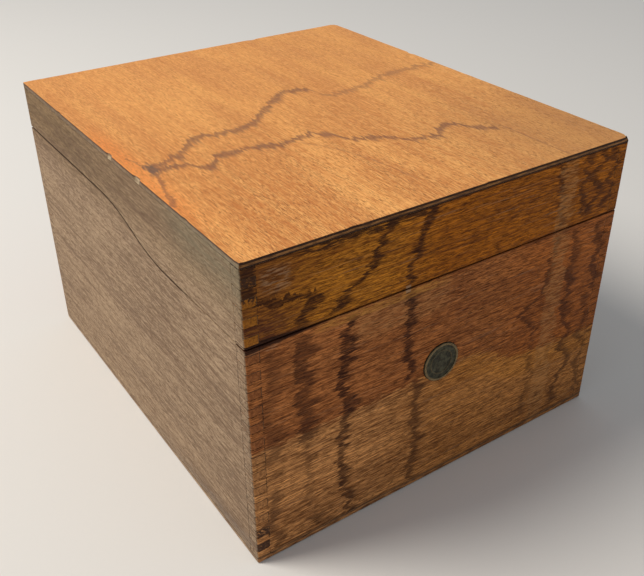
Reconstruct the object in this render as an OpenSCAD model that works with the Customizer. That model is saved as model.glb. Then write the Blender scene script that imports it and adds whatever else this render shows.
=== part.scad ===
// Wooden recipe card box with finger-jointed corners.
// The closed box was glued up whole and then sawn apart along a line that steps down
// towards the front, so the lid is deeper there and the cards' tabs show over the base.
// X runs to the right, Y to the back and Z up; the origin is the middle of the underside.

/* [Box] */
// Overall width of the closed box
box_w = 154; // [142:1:200]
// Overall depth of the closed box
box_d = 178.5; // [150:0.5:260]
// Overall height of the closed box
box_h = 114.3; // [105:0.1:150]
// Thickness of the four side boards
wall = 4.8; // [4.4:0.1:7]
// Thickness of the plywood panel glued on top
top_t = 2; // [1.5:0.1:4]
// Thickness of the plywood panel glued underneath
bottom_t = 2.4; // [1.8:0.1:4]
// Bevel worn on the outer arrises
ease = 0.5; // [0.2:0.1:1]
// Number of fingers up one corner joint
fingers = 35; // [15:2:45]

/* [Lid line] */
// Height of the lid at the front, top panel included
lid_front_h = 28; // [25:0.1:36]
// Height of the lid at the back, top panel included
lid_back_h = 18.7; // [14:0.1:22]
// Distance from the back face to where the lid line starts to drop
step_back = 76; // [60:1:90]
// Length over which the lid line drops to the front height
step_run = 53; // [40:1:60]
// Width of the saw cut between the lid and the base
seam = 0.6; // [0.4:0.05:1.2]
// Opening at which the bevelled back edges meet and stop the lid, in degrees
open_angle = 100; // [90:1:110]

/* [Hinges] */
// Length of one hinge
hinge_len = 25; // [20:1:32]
// Distance from the end of the box to the middle of a hinge
hinge_inset = 31; // [24:1:45]
// Distance of the hinge pin inside the back face
pin_in = 0.6; // [0.5:0.05:0.9]
// Diameter of the hinge pin
pin_d = 1.2; // [1:0.1:1.6]
// Thickness of a hinge leaf
leaf_t = 0.7; // [0.6:0.05:0.9]
// Number of knuckles in a hinge
knuckles = 5; // [5:2:7]
// Gap between neighbouring knuckles
knuckle_gap = 0.15; // [0.1:0.05:0.3]
// Radial clearance of the pin in its knuckles
pin_clear = 0.08; // [0.03:0.01:0.1]
// Clearance of a turning knuckle from the wood and the other leaf
turn_clear = 0.3; // [0.25:0.05:0.45]
// Diameter of a hinge screw's countersunk head
hinge_head_d = 2.2; // [1.8:0.1:2.3]
// Diameter of a hinge screw's shank
hinge_shank_d = 1.1; // [0.9:0.1:1.3]
// Length of a hinge screw below its head
hinge_screw_len = 7; // [5:0.5:10]
// Width and depth of a hinge screw's slot
hinge_slot = 0.25; // [0.2:0.05:0.35]

/* [Medallion] */
// Diameter of the metal medallion
medal_d = 14.8; // [10:0.2:22]
// Offset of the medallion to the left of the middle
medal_left = 2.9; // [0:0.1:10]
// Height of the medallion's centre above the underside
medal_z = 51.8; // [35:0.2:65]
// Depth of the medallion's seat in the front board
medal_seat = 0.8; // [0.5:0.1:1.1]
// How far the medallion's rim stands out of the front board
medal_proud = 0.6; // [0.4:0.1:1.2]
// Width of the medallion's raised rim
medal_rim = 0.9; // [0.6:0.1:1.5]
// Depth of the medallion's sunk field below its rim
medal_sink = 0.35; // [0.2:0.05:0.5]
// Outer diameter of the fine ring raised in the field
medal_ring_d = 9.6; // [6:0.2:11]
// Width of that fine ring
medal_ring_w = 0.5; // [0.3:0.1:0.8]
// Bevel of the rim's outer edge
medal_edge = 0.2; // [0.1:0.05:0.3]
// Diameter of the tack on the medallion's back
tack_d = 1.5; // [1:0.1:2.5]
// Length of the tack on the medallion's back
tack_len = 3; // [2:0.1:3.1]

/* [Rail] */
// Width of the steel rail along the floor
rail_w = 16; // [14:1:24]
// Thickness of the rail's steel strip
rail_t = 1; // [0.8:0.1:1.5]
// Height of the strip's underside above the floor
rail_lift = 2.4; // [2:0.1:4]
// Inner radius of the rail's two bends
rail_bend = 1; // [0.6:0.1:1.6]
// Height of the tabs turned up at the rail's ends
tab_h = 11; // [10:0.5:16]
// Distance of a tab's screws below its upper edge
tab_screw_down = 4; // [3.5:0.5:5]
// Distance between the two screws of one tab
tab_screw_apart = 8; // [6:0.5:9]

/* [Follow block] */
// Gap between the follow block and each side board
block_side_gap = 11; // [6:1:20]
// Height of the follow block, measured up its slope
block_h = 68; // [50:1:74]
// Thickness of the follow block
block_t = 8; // [6.5:0.5:12]
// Radius of the follow block's upper corners
block_r = 10; // [4:1:20]
// Gap between the follow block and the floor
block_lift = 1; // [0.5:0.1:2]
// Clearance of the notch that straddles the shoe
notch_clear = 1; // [0.6:0.1:2]
// Backward lean of the follow block, in degrees
lean = 12; // [6:1:18]
// Distance from the back board to the shoe when it is pushed right back
rest_back = 3.5; // [3:0.5:30]
// Length of the shoe that slides on the rail
shoe_len = 30; // [27:1:40]
// Thickness of the shoe's sheet metal
shoe_t = 0.8; // [0.6:0.05:1]
// Running clearance between shoe and rail
shoe_clear = 0.3; // [0.2:0.05:0.5]
// Width of the edges that the shoe turns in under the rail
hook_w = 3; // [2:0.1:4]
// Height of the shoe's upright, measured up its slope
upright_h = 34; // [28:1:44]
// Distance of the block's upper screw below the upright's top
block_screw_down = 6; // [4:0.5:8]
// Distance between the block's two screws
block_screw_apart = 14; // [8:0.5:14]
// Diameter of the round-headed screws of rail and block
screw_d = 2; // [1.6:0.1:2.4]
// Depth that those screws bite into the wood
screw_bite = 3.6; // [2.5:0.1:3.9]
// Diameter of their heads
screw_head_d = 4; // [3:0.1:4.6]
// Height of their heads
screw_head_h = 1.4; // [1:0.1:1.8]
// Width and depth of their slots
screw_slot = 0.5; // [0.3:0.05:0.7]

/* [Friction spring] */
// Thickness of the spring leaf
spring_t = 0.4; // [0.3:0.05:0.6]
// Width of the spring leaf
spring_w = 8; // [6:0.5:10]
// Length of the spring that lies riveted on the shoe
spring_foot = 7; // [6:0.5:8]
// Length of the spring's turned-up tip
spring_lip = 3; // [2:0.5:4]
// Gap between the spring's lowest line and the rail
spring_gap = 0.2; // [0.1:0.05:0.3]
// Room round the spring in the shoe's window
window_room = 0.8; // [0.5:0.1:1.5]
// Length of the shoe left in front of its window
window_front = 9; // [8:0.5:10]
// Diameter of the spring's rivet
rivet_d = 2; // [1.6:0.1:2.4]
// Diameter of the rivet's head
rivet_head_d = 3.8; // [3:0.1:4.6]
// Height of the rivet's head
rivet_head_h = 0.7; // [0.5:0.05:1]

/* [Hidden] */

// Fineness of round parts, and of the medallion's rings
$fn = 48;
medal_fn = 96;
// Number of steps in the lid line's arcs, the block's corners and the rail's bends
step_facets = 12;
corner_facets = 8;
bend_facets = 6;
// Distance that a cut or a rough board runs past the surface it crosses
past = 1;
// Clearance round metal that is let into wood or riveted
inlay = 0.05;

// Faces of the box
front_y = -box_d / 2;
back_y = box_d / 2;
right_x = box_w / 2;
inner_back_y = back_y - wall;
frame_top = box_h - top_t;
frame_h = frame_top - bottom_t;
finger = frame_h / fingers;

// Lid line: two equal arcs, the upper one convex and the lower one concave
seam_front_z = box_h - lid_front_h;
seam_back_z = box_h - lid_back_h;
step_h = seam_back_z - seam_front_z;
step_y = back_y - step_back;
step_turn = 2 * atan(step_h / step_run);
step_r = (step_run * step_run + step_h * step_h) / (4 * step_h);

// Hinge: the pin lies in the saw cut, just inside the back face
pin_y = back_y - pin_in;
pin_z = seam_back_z;
bore_r = pin_d / 2 + pin_clear;
knuckle_r = bore_r + leaf_t;
turn_r = knuckle_r + turn_clear;
knuckle_pitch = hinge_len / knuckles;
hinge_screw_y = (pin_y - knuckle_r + inner_back_y) / 2;
hinge_head_h = (hinge_head_d - hinge_shank_d) / 2;
// Distance behind the pin that the bevels on the back edges are drawn to
bevel_reach = pin_in + past;
bevel_rise = bevel_reach * tan(open_angle / 2);

// Medallion
medal_seat_y = front_y + medal_seat;
medal_t = medal_seat + medal_proud;
medal_field = medal_t - medal_sink;
medal_ring_r = medal_ring_d / 2;
medal_ring_top = medal_t - medal_sink / 3;

// Rail and shoe
rail_z = bottom_t + rail_lift;
rail_top = rail_z + rail_t;
tab_screw_z = rail_z + tab_h - tab_screw_down;
shoe_z = rail_top + shoe_clear;
shoe_top = shoe_z + shoe_t;
shoe_hook_top = rail_z - shoe_clear;
shoe_hook_z = shoe_hook_top - shoe_t;
shoe_in_w = rail_w + 2 * shoe_clear;
shoe_out_w = shoe_in_w + 2 * shoe_t;
shoe_back_y = inner_back_y - rest_back;
shoe_front_y = shoe_back_y - shoe_len;

// Follow block, in its leaning frame
block_w = box_w - 2 * wall - 2 * block_side_gap;
block_floor_z = bottom_t + block_lift;
block_foot = -(shoe_z - block_floor_z) / cos(lean);
notch_w = shoe_out_w + 2 * notch_clear;
notch_top = shoe_top + notch_clear;
block_screw_top = upright_h - block_screw_down;

// Spring: foot on the shoe, slope down through the window, tip turned up again
spring_front_y = shoe_back_y - spring_foot;
spring_low = rail_top + spring_gap;
window_len = shoe_len - spring_foot - window_front;
spring_slope = window_len - spring_lip - 2 * window_room;
spring_lip_rise = shoe_top - spring_low + spring_t;

// Points on an arc about c of radius r, from angle a to angle b, in n steps
function arc(c, r, a, b, n) =
    [for (i = [0 : n]) let (t = a + (b - a) * i / n) c + r * [cos(t), sin(t)]];

// The lid line in the Y-Z plane from the hinge to the front, raised by lift
function lid_line(lift) = concat(
    [[pin_y, seam_back_z + lift]],
    arc([step_y, seam_back_z - step_r + lift], step_r, 90, 90 + step_turn, step_facets),
    arc([step_y - step_run, seam_front_z + step_r + lift], step_r, step_turn - 90, -90, step_facets),
    [[front_y - past, seam_front_z + lift]]
);

// A rectangle of half sizes a and b about the origin with its corners cut off by the worn
// bevel. Its sides are moved out by out_a and out_b, and the bevels run on to meet them.
function worn_rectangle(a, b, out_a, out_b) =
    let (corner = [[a + out_a, b - ease - out_a], [a - ease - out_b, b + out_b]])
    [
        corner[0], corner[1], [-corner[1].x, corner[1].y], [-corner[0].x, corner[0].y],
        -corner[0], -corner[1], [corner[1].x, -corner[1].y], [corner[0].x, -corner[0].y]
    ];

// Extrudes a Y-Z outline along X, starting at x
module along_x(x, length)
    translate([x, 0, 0]) rotate([90, 0, 90]) linear_extrude(length) children();

// Extrudes an X-Z outline along Y, starting at y
module along_y(y, length)
    translate([0, y + length, 0]) rotate([90, 0, 0]) linear_extrude(length) children();

// The closed box's outer shape with its arrises worn: each pair of faces comes from one outline
module worn_outline()
    intersection() {
        translate([0, 0, -past]) linear_extrude(box_h + 2 * past)
            polygon(worn_rectangle(box_w / 2, box_d / 2, 0, 0));
        along_x(-right_x - past, box_w + 2 * past) translate([0, box_h / 2])
            polygon(worn_rectangle(box_d / 2, box_h / 2, past, 0));
        along_y(front_y - past, box_d + 2 * past) translate([0, box_h / 2])
            polygon(worn_rectangle(box_w / 2, box_h / 2, past, past));
    }

// Everything under the lid line, with the back edge bevelled down from the pin
module base_side()
    along_x(-right_x - past, box_w + 2 * past) polygon(concat(
        lid_line(-seam / 2),
        [[front_y - past, -past], [pin_y + bevel_reach, -past]],
        [[pin_y + bevel_reach, pin_z - seam / 2 - bevel_rise]]
    ));

// Everything over the lid line, with the back edge bevelled up from the pin
module lid_side()
    along_x(-right_x - past, box_w + 2 * past) polygon(concat(
        lid_line(seam / 2),
        [[front_y - past, box_h + past], [pin_y + bevel_reach, box_h + past]],
        [[pin_y + bevel_reach, pin_z + seam / 2 + bevel_rise]]
    ));

// Outline of a rough board, standing on the bottom panel: a comb of fingers at both ends,
// where every second finger is missing, from number skipped upwards
function comb(length, skipped) =
    let (
        edge = [
            for (i = [0 : fingers - 1], end = [0, 1])
                [length / 2 + (i % 2 == skipped ? -wall : past), bottom_t + (i + end) * finger]
        ]
    )
    concat(edge, [for (i = [len(edge) - 1 : -1 : 0]) [-edge[i].x, edge[i].y]]);

// A front or back board of the closed box, cut from rough wood that starts at y.
// It has the lowest and the highest finger.
module cross_board(y)
    intersection() {
        along_y(y, wall + past) polygon(comb(box_w, 1));
        worn_outline();
    }

// A side board of the closed box, cut from rough wood that starts at x
module side_board(x)
    intersection() {
        along_x(x, wall + past) polygon(comb(box_d, 0));
        worn_outline();
    }

module front_board() cross_board(front_y - past);

module back_board() cross_board(inner_back_y);

module left_board() side_board(-right_x - past);

module right_board() side_board(right_x - wall);

// X of the middle of a hinge: side is -1 for the left one and 1 for the right one
function hinge_x(side) = side * (right_x - hinge_inset);

// Middles of the knuckles along a hinge: the base leaf has the even ones, the lid leaf the odd
function knuckle_places(leaf) =
    [for (i = [leaf : 2 : knuckles - 1]) (i - (knuckles - 1) / 2) * knuckle_pitch];

// A cylinder along X about the pin's line
module about_pin(x, r, length)
    translate([x, pin_y, pin_z]) rotate([0, 90, 0]) cylinder(r = r, h = length, center = true);

// Room in the wood for both hinges: the turning knuckles' hollow and the leaves' mortises
module hinge_room()
    for (side = [-1, 1]) {
        about_pin(hinge_x(side), turn_r, hinge_len + 2 * turn_clear);
        translate([hinge_x(side), (inner_back_y - past + pin_y) / 2, pin_z])
            cube([hinge_len + 2 * inlay, pin_y - inner_back_y + past, seam + 2 * leaf_t], center = true);
    }

// Places children at one leaf's screws, with Z into the wood; dir is -1 for down and 1 for up
module at_hinge_screws(side, leaf, dir)
    for (x = knuckle_places(leaf))
        translate([hinge_x(side) + x, hinge_screw_y, pin_z + dir * seam / 2])
            mirror([0, 0, dir > 0 ? 0 : 1]) children();

// A countersunk screw's shape with its head at the origin, grown by room
module hinge_screw_shape(room)
    rotate_extrude() polygon([
        [0, 0], [hinge_head_d / 2 + room, 0], [hinge_shank_d / 2 + room, hinge_head_h],
        [hinge_shank_d / 2 + room, hinge_head_h + hinge_screw_len + room],
        [0, hinge_head_h + hinge_screw_len + room]
    ]);

// One leaf with its knuckles: leaf 0 lies on the base with dir -1, leaf 1 on the lid with dir 1
module hinge_leaf(side, leaf, dir)
    color("darkgoldenrod") difference() {
        union() {
            translate([hinge_x(side), (inner_back_y + pin_y) / 2, pin_z + dir * (seam + leaf_t) / 2])
                cube([hinge_len, pin_y - inner_back_y, leaf_t], center = true);
            for (x = knuckle_places(leaf))
                about_pin(hinge_x(side) + x, knuckle_r, knuckle_pitch - knuckle_gap);
        }
        for (x = knuckle_places(1 - leaf))
            about_pin(hinge_x(side) + x, turn_r, knuckle_pitch + knuckle_gap);
        about_pin(hinge_x(side), bore_r, hinge_len + 2 * past);
        at_hinge_screws(side, leaf, dir) hinge_screw_shape(inlay);
    }

module hinge_pin(side)
    color("goldenrod") about_pin(hinge_x(side), pin_d / 2, hinge_len);

module hinge_screws(side, leaf, dir)
    color("goldenrod") at_hinge_screws(side, leaf, dir) difference() {
        hinge_screw_shape(0);
        cube([hinge_head_d + past, hinge_slot, 2 * hinge_slot], center = true);
    }

// The medallion's seat and the hole for its tack
module medal_hole()
    translate([-medal_left, front_y - past, medal_z]) rotate([-90, 0, 0]) {
        cylinder(d = medal_d + 2 * inlay, h = past + medal_seat);
        cylinder(d = tack_d + 2 * inlay, h = past + medal_seat + tack_len + inlay);
    }

module base_front()
    color("sienna") difference() {
        intersection() {
            front_board();
            base_side();
        }
        medal_hole();
        tab_screw_holes(-1);
    }

module base_back()
    color("sienna") difference() {
        intersection() {
            back_board();
            base_side();
        }
        hinge_room();
        for (side = [-1, 1]) at_hinge_screws(side, 0, -1) hinge_screw_shape(inlay);
        tab_screw_holes(1);
    }

module base_left()
    color("tan") intersection() {
        left_board();
        base_side();
    }

module base_right()
    color("tan") intersection() {
        right_board();
        base_side();
    }

module bottom_panel()
    color("peru") intersection() {
        worn_outline();
        translate([0, 0, (bottom_t - past) / 2])
            cube([box_w + past, box_d + past, bottom_t + past], center = true);
    }

module lid_front()
    color("sienna") intersection() {
        front_board();
        lid_side();
    }

module lid_back()
    color("sienna") difference() {
        intersection() {
            back_board();
            lid_side();
        }
        hinge_room();
        for (side = [-1, 1]) at_hinge_screws(side, 1, 1) hinge_screw_shape(inlay);
    }

module lid_left()
    color("tan") intersection() {
        left_board();
        lid_side();
    }

module lid_right()
    color("tan") intersection() {
        right_board();
        lid_side();
    }

module lid_top_panel()
    color("sandybrown") intersection() {
        worn_outline();
        translate([0, 0, frame_top + (top_t + past) / 2])
            cube([box_w + past, box_d + past, top_t + past], center = true);
    }

// A disc with a raised rim and a fine raised ring, turned about its tack
module medallion()
    color("darkolivegreen") translate([-medal_left, medal_seat_y, medal_z]) rotate([90, 0, 0])
        rotate_extrude($fn = medal_fn) polygon([
            [0, -tack_len], [tack_d / 2, -tack_len], [tack_d / 2, 0], [medal_d / 2, 0],
            [medal_d / 2, medal_t - medal_edge], [medal_d / 2 - medal_edge, medal_t],
            [medal_d / 2 - medal_rim, medal_t], [medal_d / 2 - medal_rim, medal_field],
            [medal_ring_r, medal_field], [medal_ring_r, medal_ring_top],
            [medal_ring_r - medal_ring_w, medal_ring_top], [medal_ring_r - medal_ring_w, medal_field],
            [0, medal_field]
        ]);

// Side view of the rail: a strip along the floor with a tab turned up at each end
module rail_outline() {
    end = inner_back_y;
    out = rail_bend + rail_t;
    bend_z = rail_z + out;
    polygon(concat(
        [[-end, rail_z + tab_h]],
        arc([out - end, bend_z], out, 180, 270, bend_facets),
        arc([end - out, bend_z], out, 270, 360, bend_facets),
        [[end, rail_z + tab_h], [end - rail_t, rail_z + tab_h]],
        arc([end - out, bend_z], rail_bend, 360, 270, bend_facets),
        arc([out - end, bend_z], rail_bend, 270, 180, bend_facets),
        [[rail_t - end, rail_z + tab_h]]
    ));
}

// Places children at the two screws of one tab, with Z into the board; dir is -1 in front
module at_tab_screws(dir)
    for (side = [-1, 1])
        translate([side * tab_screw_apart / 2, dir * (inner_back_y - rail_t), tab_screw_z])
            rotate([-90 * dir, 0, 0]) children();

// A round-headed screw through a sheet of thickness grip, with the head before the origin
module round_screw(grip) {
    cylinder(d = screw_d, h = grip + screw_bite);
    translate([0, 0, -screw_head_h]) difference() {
        cylinder(d1 = 0.6 * screw_head_d, d2 = screw_head_d, h = screw_head_h);
        cube([screw_head_d + past, screw_slot, 2 * screw_slot], center = true);
    }
}

// Hole for such a screw
module screw_hole(grip)
    translate([0, 0, -past]) cylinder(d = screw_d + 2 * inlay, h = past + grip + screw_bite + inlay);

module tab_screw_holes(dir)
    at_tab_screws(dir) screw_hole(rail_t);

module follower_rail()
    color("lightslategray") difference() {
        along_x(-rail_w / 2, rail_w) rail_outline();
        tab_screw_holes(-1);
        tab_screw_holes(1);
    }

module rail_screws()
    color("silver") for (dir = [-1, 1]) at_tab_screws(dir) round_screw(rail_t);

// The follow block's leaning frame: Z up the slope, and Y = 0 on the block's back face
module leaning()
    translate([0, shoe_front_y, shoe_z]) rotate([-lean, 0, 0]) children();

// Places children at the block's two screws, with Z forwards from the upright's back face
module at_block_screws()
    leaning() for (z = [block_screw_top, block_screw_top - block_screw_apart])
        translate([0, shoe_t, z]) rotate([90, 0, 0]) children();

// A leaning board with round upper corners, planed level at the floor and notched for the shoe
module follower_block()
    color("burlywood") difference() {
        leaning() along_y(-block_t, block_t) polygon(concat(
            [[-block_w / 2, block_foot - block_t], [block_w / 2, block_foot - block_t]],
            arc([block_w / 2 - block_r, block_foot + block_h - block_r], block_r, 0, 90, corner_facets),
            arc([block_r - block_w / 2, block_foot + block_h - block_r], block_r, 90, 180, corner_facets)
        ));
        translate([-box_w / 2, shoe_front_y - 3 * block_t, -block_t])
            cube([box_w, 6 * block_t, block_floor_z + block_t]);
        translate([-notch_w / 2, shoe_front_y - 3 * block_t, 0])
            cube([notch_w, 6 * block_t, notch_top]);
        at_block_screws() screw_hole(shoe_t);
    }

// End view of the shoe: a saddle over the rail with its edges turned in below
module shoe_section()
    difference() {
        translate([-shoe_out_w / 2, shoe_hook_z]) square([shoe_out_w, shoe_top - shoe_hook_z]);
        translate([-shoe_in_w / 2, shoe_hook_top]) square([shoe_in_w, shoe_z - shoe_hook_top]);
        translate([hook_w - shoe_out_w / 2, shoe_hook_z - past])
            square([shoe_out_w - 2 * hook_w, shoe_t + 2 * past]);
    }

module follower_shoe()
    color("lightslategray") difference() {
        union() {
            along_y(shoe_front_y, shoe_len) shoe_section();
            leaning() translate([-rail_w / 2, 0, shoe_t * tan(lean)])
                cube([rail_w, shoe_t, upright_h - shoe_t * tan(lean)]);
        }
        // Window that lets the spring down onto the rail
        translate([-spring_w / 2 - window_room, spring_front_y - window_len, shoe_z - past])
            cube([spring_w + 2 * window_room, window_len, shoe_t + 2 * past]);
        at_block_screws() screw_hole(0);
        rivet_hole();
    }

module follower_screws()
    color("silver") at_block_screws() round_screw(shoe_t);

// Places children on the rivet's line, with the origin on top of the shoe
module at_rivet()
    translate([0, shoe_back_y - spring_foot / 2, shoe_top]) children();

module rivet_hole()
    at_rivet() translate([0, 0, -shoe_t - past])
        cylinder(d = rivet_d + 2 * inlay, h = shoe_t + spring_t + 2 * past);

module follower_spring() {
    underside = [
        [shoe_back_y, shoe_top], [spring_front_y - window_room, shoe_top],
        [spring_front_y - window_room - spring_slope, spring_low],
        [spring_front_y - window_room - spring_slope - spring_lip, spring_low + spring_lip_rise]
    ];
    topside = [for (i = [len(underside) - 1 : -1 : 0]) underside[i] + [0, spring_t]];
    color("silver") difference() {
        along_x(-spring_w / 2, spring_w) polygon(concat(underside, topside));
        rivet_hole();
    }
}

module spring_rivet()
    color("silver") at_rivet() {
        translate([0, 0, -shoe_t]) cylinder(d = rivet_d, h = shoe_t + spring_t);
        translate([0, 0, spring_t]) cylinder(d1 = rivet_head_d, d2 = rivet_d, h = rivet_head_h);
    }

base_front();
base_back();
base_left();
base_right();
bottom_panel();
medallion();
lid_front();
lid_back();
lid_left();
lid_right();
lid_top_panel();
hinge_leaf(-1, 0, -1);  // hinge_left_base_leaf
hinge_leaf(-1, 1, 1);  // hinge_left_lid_leaf
hinge_pin(-1);  // hinge_left_pin
hinge_screws(-1, 0, -1);  // hinge_left_base_screws
hinge_screws(-1, 1, 1);  // hinge_left_lid_screws
hinge_leaf(1, 0, -1);  // hinge_right_base_leaf
hinge_leaf(1, 1, 1);  // hinge_right_lid_leaf
hinge_pin(1);  // hinge_right_pin
hinge_screws(1, 0, -1);  // hinge_right_base_screws
hinge_screws(1, 1, 1);  // hinge_right_lid_screws
follower_rail();
rail_screws();
follower_block();
follower_shoe();
follower_screws();
follower_spring();
spring_rivet();
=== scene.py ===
"""Recipe card box: its camera, floor and light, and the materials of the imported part's pieces.

Lengths in the materials are millimetres in the part's own frame: X to the right along the front, Y to the
hinged back, Z up, with the origin in the middle of the underside. Colours are linear.
"""
import math

import bmesh
import bpy
from mathutils import Matrix, Vector, noise

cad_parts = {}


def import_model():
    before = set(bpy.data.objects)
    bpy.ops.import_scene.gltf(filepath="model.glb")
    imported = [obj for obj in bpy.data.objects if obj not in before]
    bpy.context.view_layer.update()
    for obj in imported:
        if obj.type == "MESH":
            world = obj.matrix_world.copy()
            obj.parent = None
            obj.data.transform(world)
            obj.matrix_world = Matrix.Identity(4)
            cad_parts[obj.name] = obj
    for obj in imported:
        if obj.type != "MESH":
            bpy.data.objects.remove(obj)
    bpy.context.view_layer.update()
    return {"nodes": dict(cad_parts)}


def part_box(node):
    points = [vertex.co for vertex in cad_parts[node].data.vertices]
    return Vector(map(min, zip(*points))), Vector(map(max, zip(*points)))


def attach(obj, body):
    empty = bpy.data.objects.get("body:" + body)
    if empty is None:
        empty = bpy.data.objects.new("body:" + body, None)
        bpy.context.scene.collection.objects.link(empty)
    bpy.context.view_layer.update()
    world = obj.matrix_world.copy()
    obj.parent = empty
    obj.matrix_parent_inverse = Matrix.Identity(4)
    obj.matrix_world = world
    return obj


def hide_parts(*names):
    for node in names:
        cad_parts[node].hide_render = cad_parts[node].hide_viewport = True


MM = 0.001
BOX_W, BOX_D, BOX_H = 154.0, 178.5, 114.3
WALL, TOP_T, BOTTOM_T = 4.8, 2.0, 2.4
PANEL_Z = BOX_H - TOP_T
FINGER = (BOX_H - TOP_T - BOTTOM_T) / 35
FRONT_SEAM, BACK_SEAM = BOX_H - 28.0, BOX_H - 18.7
STEP_BACK, STEP_RUN = 76.0, 53.0
MEDAL_X, MEDAL_Z, MEDAL_R = -2.9, 51.8, 7.4

# Chips in the top panel's arris: (x, y, size, depth)
PANEL_CHIPS = [
    (-77, -24, 2.2, 0.8), (-77, -1.5, 1.8, 0.7), (-77, 47, 1.6, 0.3), (-77, -58, 1.5, 0.25),
    (-77, -89.2, 1.6, 0.35), (-40, -89.2, 1.8, 0.4), (12, -89.2, 1.4, 0.35), (77, -89.2, 1.8, 0.7),
    (77, 30, 1.6, 0.4), (77, 89.2, 1.8, 0.6), (30, 89.2, 1.8, 0.4),
]
# How far each level of its rim, from the underside up, goes inwards and down in a chip as deep as 1
CHIP_INWARD = (0, 0, 0.3, 1.0, 1.1, 1.25)
CHIP_DOWN = (0, 0, 0, 0.25, 0.3, 0.12)
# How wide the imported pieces' arrises are rounded
BOARD_ARRIS, PANEL_ARRIS, MEDAL_ARRIS = 0.14, 0.3, 0.12

# The camera: its lens and sensor in mm, its angles in degrees, and its distances in box heights
LENS, SENSOR = 47.86, 36.0
AZIMUTH, ELEVATION, ROLL = -33.815, 31.787, -0.417
DISTANCE, SLIDE, LIFT = 3.0722, 0.06392, -0.16979

# The surroundings, in metres and watts
FLOOR_HALF = 4
SKY_COLOUR, SKY_STRENGTH = (0.80, 0.84, 0.90, 1), 0.42
KEY_PLACE, KEY_AIM = (-0.85, 0.45, 1.15), (0, 0, 0.06)
KEY_SIZE, KEY_POWER, KEY_COLOUR = 0.7, 18.5, (1.0, 0.96, 0.90)

# Dried water lines on the top. Each has its points (x, y), the width of its dark core, how far it fades
# forwards past that, and its strength.
TOP_LINES = [
    ([(-72, -22), (-69.4, -19.3), (-58, -14.6), (-45.6, -4.1), (-38.9, -5.4), (-25.6, -4.1), (-14.1, 5.4),
      (-4.6, 13), (4.9, 18.8), (14.4, 8.3)], 1.7, 4.2, 0.95),
    ([(13, 9.5), (20.2, 5.4), (33.5, 7.3), (44.9, 12.1), (56.4, 14), (77, 14)], 1.3, 4.0, 0.6),
    ([(-72.5, -21), (-59.9, -23.1), (-54.1, -28.9), (-48.4, -23.1), (-33.2, -23.1), (-25.6, -26),
      (-12.2, -24.1), (-2.7, -35.5), (6.8, -40.3), (14.4, -47.9), (22.1, -49.8), (32.5, -44.1),
      (39.2, -51.7), (46.5, -55.5)], 1.5, 3.2, 1.0),
]
# Fine ones that run from front to back: (y, x), and they fade to the right
TOP_CREASES = [
    ([(-89, 48), (-70, 48), (-62, 48), (-54.5, 46.5)], 0.3, 1.0, 0.5),
    ([(-76, -5.5), (-56, -8), (-40, -13), (-28, -21)], 0.3, 1.0, 0.4),
    ([(-51, -77), (-43, -75.2), (-33, -72.8), (-24, -70.6)], 0.9, 1.2, 0.8),
    ([(-23, -70.4), (-14, -72.4), (-7, -74)], 0.4, 0.8, 0.7),
]

# On the front of the base: (z, x), and they fade to the right
BASE_LINES = [
    ([(46, -42.5), (52, -43), (60, -45.5), (66, -44.5), (73, -44), (80, -43), (85.5, -40)], 4.2, 2.0, 1.0),
    ([(2, -44), (9, -41.5), (18, -44.5), (30, -45), (48, -43.5)], 2.6, 2.2, 0.95),
    ([(14, -56), (22, -58), (31, -57), (44, -59)], 1.2, 2.5, 0.5),
    ([(3, -52), (6, -55), (11, -58)], 5.0, 3.0, 0.6),
    ([(49, -18), (54, -17), (60, -19), (68, -19.5), (76, -18.5), (86, -20)], 2.8, 1.8, 1.0),
    ([(2, -12.5), (10, -15), (20, -13), (32, -15), (40, -14), (50, -16.5)], 2.4, 2.8, 0.82),
    ([(43, -62), (52, -59), (60, -61), (66, -59), (72, -61), (84, -59)], 5.0, 4.0, 0.85),
    ([(40, -73), (50, -71), (60, -73.5), (72, -70), (84, -72)], 2.8, 6.0, 0.55),
    ([(44, 42), (49, 40), (54, 35), (57.2, 33.5), (60, 39.5), (64, 43.5), (72, 45), (86, 47.5)],
     1.6, 2.0, 0.8),
    ([(6, 43), (14, 40), (24, 42.5), (34, 40.5), (45, 41.5)], 1.2, 2.5, 0.6),
    ([(48, 58), (54, 55), (60, 57), (66, 54.5), (72, 56.5), (85, 54.5)], 2.4, 3.5, 0.8),
    ([(54, 68), (60, 70.5), (66, 67.5), (72, 70), (78, 67.5), (85, 70)], 2.6, 3.5, 0.8),
    ([(5, 60), (12, 57), (20, 60), (26, 63), (33, 57), (40, 61), (46, 56), (52, 60)], 1.8, 3.0, 0.8),
    ([(5, 67), (13, 71), (20, 68), (28, 72), (36, 66), (42, 70), (50, 67), (55, 70)], 1.6, 3.0, 0.7),
    ([(3, -73), (8, -70), (14, -74), (22, -71), (30, -74)], 3.2, 3.0, 0.7),
]
# On the front of the lid, likewise
LID_LINES = [
    ([(86.6, -60), (90, -59), (94, -57), (97.5, -55.5)], 4.4, 2.2, 1.0),
    ([(87, -51), (88.6, -47.6), (93.6, -43), (98.2, -35), (106.6, -31), (113, -26.5)], 2.8, 2.0, 1.0),
    ([(87, -19.5), (92, -19), (97.2, -17.5), (104, -15), (113, -11.5)], 2.0, 1.8, 1.0),
    ([(87, 47.5), (94, 46.5), (101, 45.2), (113, 43)], 1.5, 1.6, 0.85),
    ([(88, 55.4), (94, 57), (100, 55), (106, 57), (113, 55.2)], 2.0, 2.4, 0.85),
    ([(88, 62), (92, 59.5), (96, 65), (100, 62), (104, 59.5), (108, 64.5), (113, 61)], 2.4, 3.0, 0.9),
    ([(88, 71), (92, 67.5), (96, 71.5), (101, 68), (105, 72.5), (109, 68), (113, 71)], 2.2, 3.0, 0.85),
]
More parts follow.
